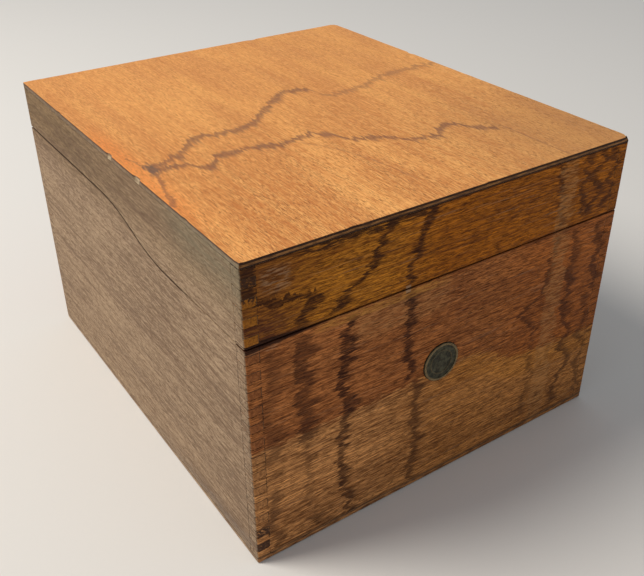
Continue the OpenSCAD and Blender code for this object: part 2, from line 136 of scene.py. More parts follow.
# The parts of them that run along the lid's grain: (x, z), and they fade upwards
LID_CREASES = [
    ([(-74.5, 97.5), (-72, 99.5), (-67, 97), (-62, 97.3), (-52, 95.2)], 2.1, 0.8, 1.0),
    ([(-77, 101), (-70, 100.5), (-64, 102)], 0.8, 1.2, 0.6),
]
# On the back, which the photograph doesn't show: fewer and fainter
BACK_LINES = [
    ([(2, 38), (30, 41), (60, 36), (94, 40)], 1.5, 4.0, 0.5),
    ([(2, -52), (25, -50), (55, -55), (94, -51)], 1.2, 3.0, 0.4),
    ([(96, 30), (104, 33), (113, 31)], 1.4, 3.0, 0.5),
]


class Graph:
    """One material, and short ways to add its nodes. A value may be a number, a colour or a socket."""

    def __init__(self, name):
        self.material = bpy.data.materials.new(name)
        self.material.use_nodes = True
        self.tree = self.material.node_tree
        self.tree.nodes.clear()
        coordinates = self.add("ShaderNodeTexCoord").outputs
        self.place = self.add("ShaderNodeVectorMath", {0: coordinates["Object"], 3: 1 / MM},
                              operation="SCALE").outputs[0]
        self.x, self.y, self.z = self.split(self.place)
        normal = self.split(coordinates["Normal"])
        self.nx, self.ny, self.nz = (self.absolute(part) for part in normal)

    def add(self, kind, values=None, **settings):
        node = self.tree.nodes.new(kind)
        for key, value in settings.items():
            setattr(node, key, value)
        for key, value in (values or {}).items():
            if isinstance(value, bpy.types.NodeSocket):
                self.tree.links.new(value, node.inputs[key])
            else:
                node.inputs[key].default_value = value
        return node

    def split(self, vector):
        return self.add("ShaderNodeSeparateXYZ", {0: vector}).outputs[:]

    def math(self, operation, a, b=0.0, c=0.0, clamp=False):
        inputs = {0: a, 1: b, 2: c}
        return self.add("ShaderNodeMath", inputs, operation=operation, use_clamp=clamp).outputs[0]

    def plus(self, a, b):
        return self.math("ADD", a, b)

    def minus(self, a, b):
        return self.math("SUBTRACT", a, b)

    def times(self, a, b):
        return self.math("MULTIPLY", a, b)

    def scale_add(self, value, factor, added):
        return self.math("MULTIPLY_ADD", value, factor, added)

    def absolute(self, value):
        return self.math("ABSOLUTE", value)

    def apart(self, a, b):
        return self.absolute(self.minus(a, b))

    def weigh(self, *parts):
        """The sum of parts (value, weight)."""
        total = self.times(*parts[-1])
        for part in parts[-2::-1]:
            total = self.plus(self.times(*part), total)
        return total

    def most(self, *values):
        total = values[0]
        for value in values[1:]:
            total = self.math("MAXIMUM", total, value)
        return total

    def ramp(self, value, low, high, start=0.0, end=1.0):
        """start where value is at low or below, end at high or above, and a smooth step between them."""
        return self.add("ShaderNodeMapRange", {0: value, 1: low, 2: high, 3: start, 4: end},
                        interpolation_type="SMOOTHSTEP").outputs[0]

    def band(self, value, low, high, edge):
        """1 between low and high, and 0 outside, with soft ends edge wide."""
        return self.times(self.ramp(value, low - edge, low), self.ramp(value, high, high + edge, 1.0, 0.0))

    def mix(self, amount, a, b, blend="MIX"):
        inputs = {0: amount, 6: a, 7: b}
        return self.add("ShaderNodeMix", inputs, data_type="RGBA", blend_type=blend).outputs[2]

    def tint(self, colour, factors):
        return self.mix(1.0, colour, factors, "MULTIPLY")

    def noise(self, vector, scale=1.0, detail=2.0, rough=0.5, shift=0.0):
        return self.add("ShaderNodeTexNoise", {"Vector": vector, "Scale": scale, "Detail": detail,
                        "Roughness": rough, "Distortion": shift}).outputs["Fac"]

    def streaks(self, axes, sizes, detail=2.0, rough=0.5):
        """Noise drawn out along the grain. sizes are its lengths along, across and into the board."""
        parts = [self.math("DIVIDE", axis, size) for axis, size in zip(axes, sizes)]
        drawn = self.add("ShaderNodeCombineXYZ", dict(enumerate(parts))).outputs[0]
        return self.noise(drawn, 1.0, detail, rough)

    def ripple(self, value, factor, shift, detail, rough):
        """Noise that changes with one value only."""
        place = self.scale_add(value, factor, shift)
        inputs = {"W": place, "Scale": 1.0, "Detail": detail, "Roughness": rough}
        return self.add("ShaderNodeTexNoise", inputs, noise_dimensions="1D").outputs["Fac"]

    def curve(self, value, points):
        """A smooth curve through points (value, result)."""
        low, high = points[0][0], points[-1][0]
        results = [result for _, result in points]
        least, span = min(results) - 1.0, max(results) - min(results) + 2.0
        share = self.math("MULTIPLY_ADD", value, 1 / (high - low), -low / (high - low), clamp=True)
        node = self.add("ShaderNodeFloatCurve", {"Value": share})
        curve = node.mapping.curves[0]
        while len(curve.points) < len(points):
            curve.points.new(0.5, 0.5)
        ordered = sorted(curve.points, key=lambda p: p.location[0])
        for point, (at, result) in zip(ordered, points):
            point.location = ((at - low) / (high - low), (result - least) / span)
            point.handle_type = "AUTO"
        node.mapping.update()
        return self.scale_add(node.outputs[0], span, least)

    def finish(self, colour, roughness, height, depth, metal=0.0, shine=0.5):
        bump = self.add("ShaderNodeBump", {"Strength": 1.0, "Distance": depth * MM, "Height": height})
        shader = self.add("ShaderNodeBsdfPrincipled", {"Base Color": colour, "Roughness": roughness,
                          "Metallic": metal, "Specular IOR Level": shine, "Normal": bump.outputs[0]})
        output = self.add("ShaderNodeOutputMaterial")
        self.tree.links.new(shader.outputs[0], output.inputs[0])
        return self.material


def scaled(colour, factor):
    return tuple(c * factor for c in colour) + (1.0,)


def grain(g, axes, seed):
    """Oak's pattern as numbers from 0 to 1: slow drift, growth bands, fibres and open pores."""
    along, across, depth = axes
    depth = g.plus(depth, seed)
    drift = g.ramp(g.streaks((along, across, depth), (70, 13, 15), 2), 0.3, 0.7)
    wander = g.streaks((along, across, depth), (150, 25, 25), 1)
    bent = g.scale_add(wander, 7.0, across)
    bands = g.ramp(g.streaks((along, bent, depth), (150, 1.7, 3.0), 3, 0.65), 0.3, 0.7)
    fibres = g.ramp(g.streaks((along, bent, depth), (7, 0.36, 0.8), 2, 0.6), 0.32, 0.68)
    dashes = g.streaks((along, bent, depth), (2.2, 0.2, 0.4), 1, 0.4)
    pores = g.ramp(g.minus(dashes, g.ramp(bands, 0.2, 0.9, 0.62, 0.54)), 0.0, 0.08)
    return drift, bands, fibres, pores


def tide_line(g, along, across, points, core, fade, strength, seed, spikes=6.0, edge=0.6, ahead=1.0):
    """How dark a dried water line is, from 0 to 1. Its place along the grain follows points (across, along),
    each fibre draws it out by up to spikes, and past its core it fades towards +along, or -along if ahead
    is -1."""
    line = g.curve(across, points)
    fibre = g.ripple(across, 0.36, seed, 5.0, 0.78)
    past = g.minus(along, g.plus(line, g.scale_add(fibre, 2 * spikes, -spikes)))
    swell = g.ripple(across, 0.13, -seed, 3.0, 0.7)
    past = g.times(g.times(past, ahead), g.ramp(swell, 0.36, 0.62, 1.7, 0.75))
    shape = g.times(g.ramp(past, -edge, 0.0), g.ramp(past, core, core + fade, 1.0, 0.0))
    low, high = points[0][0], points[-1][0]
    window = g.times(g.ramp(across, low, low + 1.5), g.ramp(across, high - 1.5, high, 1.0, 0.0))
    return g.times(g.times(shape, window), strength)


def worst_line(g, along, across, lines, seed, broken, **shape):
    """The darkest of several tide lines, in patches as strong as broken, which is from 0 to 1."""
    stain = 0.0
    for number, (points, core, fade, strength) in enumerate(lines):
        line = tide_line(g, along, across, points, core, fade, strength, seed + 7.3 * number, **shape)
        stain = line if number == 0 else g.most(stain, line)
    return g.times(stain, broken)


def seam_height(g):
    """The height of the saw cut between base and lid on a side board."""
    rise, half = BACK_SEAM - FRONT_SEAM, STEP_RUN / 2
    middle = BOX_D / 2 - STEP_BACK - half
    bend = [(-1.0, 0.0), (-0.75, 0.03), (-0.5, 0.125), (-0.25, 0.28), (0.0, 0.5), (0.25, 0.72), (0.5, 0.875),
            (0.75, 0.97), (1.0, 1.0)]
    return g.curve(g.y, [(middle + half * t, FRONT_SEAM + rise * part) for t, part in bend])


def joint_lines(g, reach, half):
    """Dark lines round a corner's finger ends, where reach is near the outside face at half."""
    level = g.math("DIVIDE", g.minus(g.z, BOTTOM_T), FINGER)
    off = g.times(g.apart(level, g.math("ROUND", level)), FINGER)
    between = g.times(g.ramp(off, 0.1, 0.26, 1.0, 0.0), g.ramp(reach, half - WALL - 0.05, half - WALL))
    foot = g.ramp(g.apart(reach, half - WALL), 0.08, 0.24, 1.0, 0.0)
    return g.most(between, foot)


def inner_mask(g):
    """1 on faces that look into the box."""
    across = g.ramp(g.absolute(g.x), BOX_W / 2 - WALL + 0.05, BOX_W / 2 - WALL + 0.2, 1.0, 0.0)
    deep = g.ramp(g.absolute(g.y), BOX_D / 2 - WALL + 0.05, BOX_D / 2 - WALL + 0.2, 1.0, 0.0)
    return g.times(across, deep)


def bare_oak(g, tone, pores):
    """The cleaner wood inside the box."""
    bare = g.mix(tone, (0.30, 0.16, 0.075, 1), (0.50, 0.30, 0.155, 1))
    return g.mix(g.times(pores, 0.6), bare, (0.10, 0.05, 0.02, 1))


def front_finish(g, tone, speck, seam):
    """The front's old varnish: gold at the foot, redder above a slanting edge, and deep gold on the lid."""
    red = g.mix(tone, (0.110, 0.022, 0.005, 1), g.mix(g.ramp(g.x, 10, 50), (0.62, 0.205, 0.055, 1),
                                                      (0.58, 0.118, 0.010, 1)))
    gold = g.mix(tone, (0.15, 0.048, 0.011, 1), g.mix(g.ramp(g.x, -40, 5), (0.98, 0.450, 0.155, 1),
                                                      (0.80, 0.335, 0.090, 1)))
    lid = g.mix(tone, (0.13, 0.031, 0.003, 1), g.mix(g.ramp(g.x, -34, 0), (0.76, 0.285, 0.026, 1),
                                                     (0.66, 0.205, 0.012, 1)))
    edge = g.curve(g.x, [(-77, 47.5), (-20, 47.5), (5, 49), (37, 38), (77, 36)])
    edge = g.scale_add(speck, 2.4, g.minus(edge, 1.2))
    right = g.ramp(g.x, -10, 50, 0.85, 0.6)
    above = g.minus(g.z, edge)
    glow = g.times(g.band(above, -8, 0, 4), g.ramp(g.x, -12, 12, 0.0, 0.55))
    gold = g.mix(glow, gold, g.mix(tone, (0.20, 0.060, 0.008, 1), (0.90, 0.360, 0.060, 1)))
    colour = g.mix(g.times(g.ramp(above, -0.8, 1.0), right), gold, red)
    return g.mix(g.ramp(g.minus(g.z, seam), 0.0, 0.3), colour, lid)


def side_finish(g, tone):
    """The sides' bare, weathered wood, greyer and darker towards the top."""
    colour = g.mix(tone, (0.185, 0.110, 0.062, 1), (0.46, 0.318, 0.196, 1))
    high = g.times(g.ramp(g.z, 84, 104), g.ramp(g.y, -40, 60, 0.5, 1.0))
    colour = g.mix(high, colour, g.tint(colour, (0.62, 0.58, 0.47, 1)))
    grey = g.times(g.ramp(g.z, 90, 112), g.ramp(g.y, -30, -62))
    return g.mix(g.times(grey, 0.42), colour, (0.22, 0.205, 0.130, 1))


def front_wood(g, tone, speck, pores, seam):
    """The front's varnish with painted sheen in streaks along the grain, its dark and pale streaks, and a
    dull patch under the lid line.
    """
    colour = front_finish(g, tone, speck, seam)
    # Painted sheen: streaks along the grain tinted lighter, where the varnish would catch the light
    painted_sheen_streaks = g.ramp(g.streaks((g.x, g.z, g.y), (8, 0.42, 1.2), 2, 0.6), 0.57, 0.66)
    colour = g.mix(g.times(painted_sheen_streaks, 0.24), colour, g.tint(colour, (1.9, 1.8, 1.6, 1)))
    dark = g.ramp(g.streaks((g.x, g.z, g.y), (26, 0.6, 2), 3, 0.65), 0.54, 0.66)
    colour = g.mix(g.times(dark, 0.55), colour, (0.085, 0.022, 0.008, 1))
    haze = g.times(g.band(g.x, -36, -6, 8), g.band(g.z, seam - 11, seam - 4, 4))
    colour = g.mix(g.times(haze, g.ramp(speck, 0.1, 0.9, 0.1, 0.42)), colour, (0.45, 0.225, 0.085, 1))
    pale = g.ramp(g.streaks((g.x, g.z, g.y), (24, 0.5, 1.5), 2, 0.6), 0.61, 0.72)
    colour = g.mix(g.times(pale, 0.35), colour, (0.46, 0.26, 0.14, 1))
    return g.mix(g.times(pores, 0.6), colour, (0.06, 0.018, 0.006, 1))


def front_stains(g, colour, speck, lines, creases, seed, seam):
    """The dried water lines, and the dark patches in the lid's upper left corner and under the top panel."""
    broken = g.ramp(speck, 0.0, 0.75, 0.4, 1.0)
    stain = worst_line(g, g.x, g.z, lines, seed, broken)
    if creases:
        stain = g.most(stain, worst_line(g, g.z, g.x, creases, seed, broken, spikes=1.6))
        low_left = g.times(g.band(g.z, 84, 94, 3), g.ramp(g.x, -70, -54, 0.3, 0.0))
        shade = g.plus(g.ramp(g.x, -74, -46, 0.65, 0.0), low_left)
        shade = g.times(g.times(shade, g.ramp(speck, 0.2, 1.0, 1.0, 0.7)), g.ramp(g.z, seam, seam + 0.4))
        colour = g.mix(shade, colour, (0.100, 0.028, 0.014, 1))
    colour = g.mix(g.times(stain, 0.9), colour, (0.030, 0.007, 0.005, 1))
    corner = g.most(g.times(g.band(g.x, -78, -74, 3.5), g.band(g.z, 103, 111, 5.0)),
                    g.times(g.band(g.x, -50, -14, 14), g.ramp(g.z, 108, 111.5, 0.0, 0.75)))
    corner = g.ramp(g.minus(corner, g.times(speck, 0.65)), 0.0, 0.5, 0.0, 0.8)
    return g.mix(corner, colour, (0.034, 0.012, 0.007, 1))


def front_wear(g, colour, speck, seam):
    """The worn column near the right end, the scuffs at the left, the chipped lid line with painted shade in
    its gap, and a painted highlight below it.
    """
    shifted = g.scale_add(g.noise(g.place, 0.09, 3, 0.7), 14.0, g.minus(g.x, 7.0))
    column = g.times(g.band(shifted, 46.5, 52.5, 2.0), g.ramp(speck, 0.2, 0.9, 0.08, 0.55))
    colour = g.mix(column, colour, (0.50, 0.240, 0.085, 1))
    # Painted highlight: a paler gold band along the base's upper arris just below the lid line
    painted_arris_highlight = g.times(g.band(g.z, seam - 3.2, seam - 0.9, 0.8), g.ramp(speck, 0.1, 0.8, 0.1, 0.6))
    colour = g.mix(g.times(painted_arris_highlight, g.band(g.x, -48, -8, 8)), colour, (0.62, 0.275, 0.055, 1))
    scuff = g.times(g.band(g.x, -69, -63, 3), g.band(g.z, 103, 109, 2))
    scuff = g.most(scuff, g.times(g.band(g.x, -76, -67, 2.5), g.band(g.z, 83.6, 85.2, 0.4)))
    colour = g.mix(g.times(scuff, g.ramp(speck, 0.3, 0.9, 0.0, 0.45)), colour, (0.38, 0.25, 0.16, 1))
    # Painted shade in the gap of the lid line: a dark band along the seam, wider at the left end, which also
    # darkens the cut faces
    width = g.plus(g.ramp(g.x, -80, -44, 1.75, 0.38), g.scale_add(speck, 0.6, -0.3))
    near = g.minus(g.apart(g.z, seam), width)
    near = g.times(g.ramp(near, -0.3, 0.3, 1.0, 0.0), g.ramp(g.x, -60, -40, 0.88, 0.62))
    colour = g.mix(near, colour, (0.018, 0.006, 0.005, 1))
    under_panel = g.ramp(g.z, PANEL_Z - 0.5, PANEL_Z - 0.1, 0.0, 0.6)
    colour = g.mix(under_panel, colour, (0.02, 0.008, 0.005, 1))
    nick = g.times(g.band(g.x, -19.6, -18.2, 0.5), g.band(g.z, FRONT_SEAM - 1.2, FRONT_SEAM + 1.0, 0.3))
    colour = g.mix(g.times(nick, g.ramp(g.ny, 0.5, 0.8, 0.0, 0.5)), colour, (0.50, 0.34, 0.22, 1))
    return g.mix(g.ramp(g.z, 2.6, 4.2, 0.55, 0.0), colour, (0.03, 0.014, 0.010, 1))


def board_parts(g, facing):
    """Masks of a board's inner face, its other faces and its finger ends, and blotches from 0 to 1.
    facing is how far a face looks along the board."""
    inner = inner_mask(g)
    outer = g.minus(1.0, inner)
    blot = g.ramp(g.noise(g.place, 1.1, 3, 0.65), 0.3, 0.7)
    return inner, outer, g.times(g.ramp(facing, 0.6, 0.8), outer), blot


def front_material(name, lines, seed, seam=FRONT_SEAM, creases=()):
    g = Graph(name)
    drift, bands, fibres, pores = grain(g, (g.x, g.z, g.y), seed)
    speck = g.ramp(g.streaks((g.x, g.z, g.y), (4.2, 0.62, 1.6), 3, 0.65), 0.33, 0.67)
    tone = g.ramp(g.weigh((drift, 0.2), (bands, 0.2), (fibres, 0.25), (speck, 0.35)), -0.02, 1.02)
    colour = front_wood(g, tone, speck, pores, seam)
    colour = front_stains(g, colour, speck, lines, creases, seed, seam)
    colour = front_wear(g, colour, speck, seam)
    inner, outer, ends, blot = board_parts(g, g.nx)
    colour = g.mix(ends, colour, g.mix(0.12, side_finish(g, blot), (0.07, 0.05, 0.035, 1)))
    colour = g.mix(inner, colour, bare_oak(g, tone, pores))
    joints = g.times(joint_lines(g, g.absolute(g.x), BOX_W / 2), g.ramp(blot, 0.3, 0.75, 0.0, 0.8))
    colour = g.mix(g.times(joints, outer), colour, (0.014, 0.006, 0.005, 1))
    height = g.plus(g.times(fibres, 0.3), g.minus(g.times(speck, 0.35), g.times(pores, 0.8)))
    rough = g.plus(g.times(drift, 0.12), g.scale_add(pores, 0.2, 0.44))
    return g.finish(colour, rough, height, depth=0.12, shine=0.07)


def side_ends(g, blot):
    """The side boards' finger ends on the front, darkest at the top and foot of the left corner."""
    calm = g.scale_add(blot, 0.4, 0.22)
    colour = g.mix(0.12, front_finish(g, calm, calm, seam_height(g)), (0.045, 0.016, 0.009, 1))
    dark = g.plus(g.ramp(g.z, 8, 26, 1.0, 0.0), g.times(g.band(g.z, 104, 111, 6), 0.85))
    dark = g.times(dark, g.ramp(g.x, -70, 70, 1.0, 0.35))
    dark = g.ramp(g.minus(dark, g.times(blot, 0.7)), 0.0, 0.45, 0.0, 0.86)
    return g.mix(dark, colour, (0.026, 0.011, 0.010, 1))


def side_material(name, seed):
    g = Graph(name)
    drift, bands, fibres, pores = grain(g, (g.y, g.z, g.x), seed)
    speck = g.ramp(g.streaks((g.y, g.z, g.x), (3.6, 0.6, 2), 3, 0.68), 0.33, 0.67)
    tone = g.weigh((drift, 0.2), (bands, 0.25), (fibres, 0.2), (speck, 0.35))
    colour = side_finish(g, g.ramp(tone, 0.14, 0.86))
    lines = g.ramp(g.streaks((g.y, g.z, g.x), (90, 2.2, 9), 3, 0.65), 0.53, 0.66)
    colour = g.mix(g.times(lines, 0.48), colour, (0.16, 0.090, 0.052, 1))
    colour = g.mix(g.times(pores, 0.6), colour, (0.13, 0.075, 0.042, 1))
    foot = g.times(g.ramp(g.z, 3, 11, 1.0, 0.0), g.ramp(g.y, 20, -75))
    colour = g.mix(g.times(foot, g.ramp(speck, 0.2, 0.9, 0.1, 0.6)), colour, (0.15, 0.135, 0.125, 1))
    # Painted shade along the gap of the lid line on the sides, strongest from the middle backwards
    near = g.apart(g.z, seam_height(g))
    painted_seam_shade = g.times(g.ramp(near, 0.3, 0.6, 1.0, 0.0), g.ramp(g.y, -66, -44, 0.0, 0.75))
    colour = g.mix(painted_seam_shade, colour, (0.045, 0.022, 0.014, 1))
    inner, outer, ends, blot = board_parts(g, g.ny)
    colour = g.mix(ends, colour, side_ends(g, blot))
    colour = g.mix(inner, colour, bare_oak(g, tone, pores))
    faint = g.times(g.ramp(blot, 0.1, 0.8, 0.1, 0.8), g.ramp(g.z, 84, 90, 1.0, 0.35))
    joints = g.times(joint_lines(g, g.absolute(g.y), BOX_D / 2), faint)
    colour = g.mix(g.times(joints, outer), colour, (0.040, 0.024, 0.016, 1))
    height = g.plus(g.times(fibres, 0.3), g.minus(g.times(speck, 0.4), g.times(pores, 0.8)))
    rough = g.plus(g.times(drift, 0.1), g.scale_add(pores, 0.2, 0.62))
    return g.finish(colour, rough, height, depth=0.14, shine=0.15)


def top_wood(g, tone, speck, pores):
    """The top's orange varnish, duller at the front right, and redder along the left edge."""
    colour = g.mix(g.ramp(tone, 0.02, 0.98), (0.57, 0.198, 0.048, 1), (1.0, 0.485, 0.148, 1))
    dull = g.times(g.ramp(g.y, 5, -80), g.ramp(g.x, -10, 75))
    colour = g.mix(g.times(dull, 0.7), colour, (0.50, 0.235, 0.078, 1))
    orange = g.times(g.ramp(g.x, -76, -68, 1.0, 0.0), g.band(g.y, -46, 6, 26))
    colour = g.mix(g.times(orange, g.ramp(speck, 0.0, 1.0, 0.3, 0.75)), colour, (0.90, 0.270, 0.055, 1))
    return g.mix(g.times(pores, g.ramp(g.y, 20, -60, 0.35, 0.62)), colour, (0.27, 0.105, 0.035, 1))


def top_stains(g, colour, speck):
    """The top's dried water lines and creases, and the dark patch where they meet."""
    broken = g.ramp(speck, 0.0, 0.8, 0.55, 1.0)
    stain = worst_line(g, g.y, g.x, TOP_LINES, 3.1, broken, spikes=6.5, edge=1.6, ahead=-1.0)
    fine = worst_line(g, g.x, g.y, TOP_CREASES, 17.0, broken, spikes=1.2, edge=0.4)
    colour = g.mix(g.times(g.most(stain, fine), 0.78), colour, (0.185, 0.078, 0.050, 1))
    patch = g.times(g.band(g.x, -71.4, -69.4, 2.0), g.band(g.y, -23, -19, 7))
    patch = g.ramp(g.minus(patch, g.times(speck, 0.8)), 0.0, 0.7, 0.0, 0.8)
    return g.mix(patch, colour, (0.16, 0.098, 0.068, 1))


def top_edge(g, colour):
    """The panel's rim: layers of plywood on the front, weathered wood on the sides, and two pale chips."""
    chip = g.ramp(g.streaks((g.x, g.z, g.y), (4, 0.6, 2), 3, 0.65), 0.3, 0.7)
    ply = g.mix(chip, (0.12, 0.045, 0.012, 1), (0.42, 0.185, 0.050, 1))
    layer = g.mix(g.band(g.z, BOX_H - 1.4, BOX_H - 0.85, 0.15), (0.035, 0.012, 0.005, 1), ply)
    upper = g.mix(chip, (0.020, 0.008, 0.004, 1), (0.085, 0.032, 0.012, 1))
    layer = g.mix(g.ramp(g.z, BOX_H - 0.6, BOX_H - 0.4), layer, upper)
    worn = g.mix(0.25, side_finish(g, chip), (0.10, 0.06, 0.035, 1))
    worn = g.mix(g.ramp(g.apart(g.z, PANEL_Z + 0.1), 0.1, 0.3, 0.7, 0.0), worn, (0.05, 0.025, 0.015, 1))
    worn = g.mix(g.ramp(g.z, BOX_H - 0.75, BOX_H - 0.45, 0.0, 0.85), worn, (0.06, 0.025, 0.012, 1))
    rim = g.ramp(g.nz, 0.6, 0.85, 1.0, 0.0)
    colour = g.mix(rim, colour, g.mix(g.ramp(g.ny, 0.5, 0.8), worn, layer))
    places = g.most(g.band(g.y, -2.6, -0.4, 0.5), g.band(g.y, -25.4, -22.6, 0.5))
    split = g.times(g.ramp(g.x, -76.4, -76.1, 1.0, 0.0), places)
    return g.mix(g.times(split, g.ramp(chip, 0.2, 0.7, 0.4, 0.95)), colour, (0.44, 0.33, 0.20, 1))


def top_material(name, seed):
    g = Graph(name)
    drift, bands, fibres, pores = grain(g, (g.y, g.x, g.z), seed)
    speck = g.ramp(g.streaks((g.y, g.x, g.z), (3.4, 0.55, 2), 3, 0.68), 0.33, 0.67)
    tone = g.weigh((drift, 0.22), (bands, 0.22), (fibres, 0.26), (speck, 0.30))
    tone = g.plus(g.times(tone, g.ramp(g.y, 40, -60, 0.75, 1.2)), g.ramp(g.y, 40, -60, 0.125, -0.1))
    colour = top_wood(g, tone, speck, pores)
    colour = top_stains(g, colour, speck)
    colour = top_edge(g, colour)
    under = g.ramp(g.z, PANEL_Z, PANEL_Z + 0.1, 1.0, 0.0)
    colour = g.mix(under, colour, bare_oak(g, tone, pores))
    height = g.plus(g.times(fibres, 0.3), g.minus(g.times(speck, 0.3), g.times(pores, 0.8)))
    rough = g.plus(g.times(drift, 0.12), g.scale_add(pores, 0.2, 0.5))
    return g.finish(colour, rough, height, depth=0.09, shine=0.2)


def plain_oak(name, axes, seed, dark, light, pore):
    g = Graph(name)
    drift, bands, fibres, pores = grain(g, [getattr(g, axis) for axis in axes], seed)
    tone = g.weigh((drift, 0.35), (bands, 0.35), (fibres, 0.3))
    colour = g.mix(g.times(pores, 0.6), g.mix(tone, dark, light), pore)
    height = g.plus(g.times(fibres, 0.35), g.minus(g.times(bands, 0.3), pores))
    return g.finish(colour, g.scale_add(drift, 0.12, 0.56), height, depth=0.08, shine=0.25)


def bottom_material(name, seed):
    """Bare wood above and below, with edges as dark as the boards that they carry on."""
    g = Graph(name)
    drift, bands, fibres, pores = grain(g, (g.y, g.x, g.z), seed)
    tone = g.weigh((drift, 0.35), (bands, 0.35), (fibres, 0.3))
    face = g.mix(g.times(pores, 0.6), g.mix(tone, (0.33, 0.20, 0.10, 1), (0.52, 0.36, 0.20, 1)),
                 (0.13, 0.07, 0.03, 1))
    speck = g.ramp(g.streaks((g.x, g.z, g.y), (5, 0.8, 5), 3, 0.65), 0.3, 0.7)
    front = g.mix(0.35, front_finish(g, speck, speck, FRONT_SEAM), (0.05, 0.02, 0.012, 1))
    edge = g.mix(g.ramp(g.ny, 0.5, 0.8), side_finish(g, speck), front)
    joint = g.ramp(g.z, BOTTOM_T - 0.45, BOTTOM_T - 0.15, 0.0, 0.8)
    # The line under the boards is a real dark joint; the darkening of the lowest 0.6 mm, where the panel
    # meets the floor, is painted shadow
    edge = g.mix(g.most(joint, g.ramp(g.z, 0.2, 0.6, 0.6, 0.0)), edge, (0.03, 0.015, 0.010, 1))
    colour = g.mix(g.ramp(g.nz, 0.5, 0.8), edge, face)
    height = g.plus(g.times(fibres, 0.35), g.minus(g.times(bands, 0.3), pores))
    return g.finish(colour, g.scale_add(drift, 0.12, 0.58), height, depth=0.08, shine=0.2)


def medal_material(name):
    g = Graph(name)
    across = g.minus(g.x, MEDAL_X)
    up = g.minus(g.z, MEDAL_Z)
    reach = g.math("SQRT", g.plus(g.times(across, across), g.times(up, up)))
    mottle = g.ramp(g.noise(g.place, 0.55, 4, 0.6, 0.4), 0.35, 0.65)
    fine = g.ramp(g.noise(g.place, 2.4, 3, 0.6), 0.35, 0.7)
    colour = g.mix(mottle, (0.014, 0.013, 0.008, 1), (0.085, 0.080, 0.046, 1))
    colour = g.mix(g.times(fine, 0.3), colour, (0.13, 0.112, 0.062, 1))
    rim = g.times(g.band(reach, MEDAL_R - 0.8, MEDAL_R - 0.15, 0.15), g.ramp(fine, 0.1, 0.7, 0.5, 1.0))
    ring = g.times(g.band(reach, 4.35, 4.75, 0.12), 0.22)
    colour = g.mix(g.times(g.most(rim, ring), 0.6), colour, (0.40, 0.27, 0.12, 1))
    rough = g.plus(g.times(fine, 0.2), 0.38)
    height = g.plus(g.times(mottle, 0.6), g.times(fine, 0.4))
    return g.finish(colour, rough, height, depth=0.06, metal=0.55, shine=0.4)


def metal_material(name, dark, light, rough, depth, brushed):
    g = Graph(name)
    blotch = g.ramp(g.noise(g.place, 0.45, 4, 0.6, 0.3), 0.32, 0.68)
    fine = g.ramp(g.noise(g.place, 3.5, 3, 0.6), 0.3, 0.7)
    lines = g.ramp(g.streaks((g.y, g.x, g.z), brushed, 2, 0.5), 0.3, 0.7)
    colour = g.mix(g.plus(g.times(blotch, 0.6), g.times(lines, 0.4)), dark, light)
    spots = g.ramp(g.noise(g.place, 1.1, 3, 0.7), 0.62, 0.72)
    colour = g.mix(g.times(spots, 0.55), colour, scaled(dark[:3], 0.45))
    height = g.plus(g.times(fine, 0.5), g.times(lines, 0.5))
    return g.finish(colour, g.scale_add(blotch, 0.15, rough), height, depth, metal=1.0)


def panel_wear(x, y):
    """How far the top panel's arris is worn in at a point of its rim, and how deep it is chipped there."""
    slow = noise.noise(Vector((x, y, 3.0)) * 0.12)
    quick = noise.noise(Vector((x, y, 9.0)) * 0.6)
    wear = 0.22 + 0.16 * slow + 0.12 * quick
    chip = sum(depth * math.exp(-(((x - cx) ** 2 + (y - cy) ** 2) / size**2) ** 2)
               for cx, cy, size, depth in PANEL_CHIPS)
    return max(wear, 0.1), chip


def add_object(name, data):
    thing = bpy.data.objects.new(name, data)
    bpy.context.scene.collection.objects.link(thing)
    return thing


def even_normals(piece):
    """Keeps large faces flat in the shading."""
    normals = piece.modifiers.new("normals", "WEIGHTED_NORMAL")
    normals.keep_sharp, normals.weight = False, 100


def rim_points(half_x, half_y, radius, step):
    """Points round a rectangle with rounded corners, each with its outward direction."""
    points = []
    for turn, (sx, sy) in enumerate(((1, 1), (-1, 1), (-1, -1), (1, -1))):
        for part in range(6):
            angle = math.radians(90 * turn + 90 * part / 5)
            out = Vector((math.cos(angle), math.sin(angle)))
            points.append((Vector((sx * (half_x - radius), sy * (half_y - radius))) + out * radius, out))
        start, out = points[-1]
        end = Vector((start.x, -start.y)) if turn % 2 else Vector((-start.x, start.y))
        count = int((end - start).length / step)
        points += [(start.lerp(end, k / count), out) for k in range(1, count)]
    return points


def rim_levels(x, y, low, high):
    """The levels (inset, height) of the top panel's rim at one point, from the underside up."""
    wear, chip = panel_wear(x, y)
    insets = (0.12, 0.0, 0.0, 0.04, wear * 0.35, wear)
    heights = (low, low + 0.12, low + 0.8, high - wear, high - wear * 0.3, high)
    return [(inset + chip * inward, height - chip * down)
            for inset, height, inward, down in zip(insets, heights, CHIP_INWARD, CHIP_DOWN)]


def panel_mesh(name, low, high):
    """A panel between the corners low and high, with a worn and chipped upper arris."""
    rim = rim_points(high.x, high.y, 0.5, 0.9)
    levels = [rim_levels(*point, low.z, high.z) for point, _ in rim]
    b = bmesh.new()
    loops = []
    for level in range(len(CHIP_DOWN)):
        loop = []
        for (point, out), stack in zip(rim, levels):
            inset, height = stack[level]
            place = point - out * inset
            loop.append(b.verts.new((place.x * MM, place.y * MM, height * MM)))
        loops.append(loop)
    for lower, upper in zip(loops, loops[1:]):
        for k in range(len(rim)):
            j = (k + 1) % len(rim)
            b.faces.new((lower[k], lower[j], upper[j], upper[k]))
    b.faces.new(loops[-1])
    b.faces.new(loops[0][::-1])
    for face in b.faces:
        face.smooth = True
    mesh = bpy.data.meshes.new(name)
    b.to_mesh(mesh)
    b.free()
    return mesh


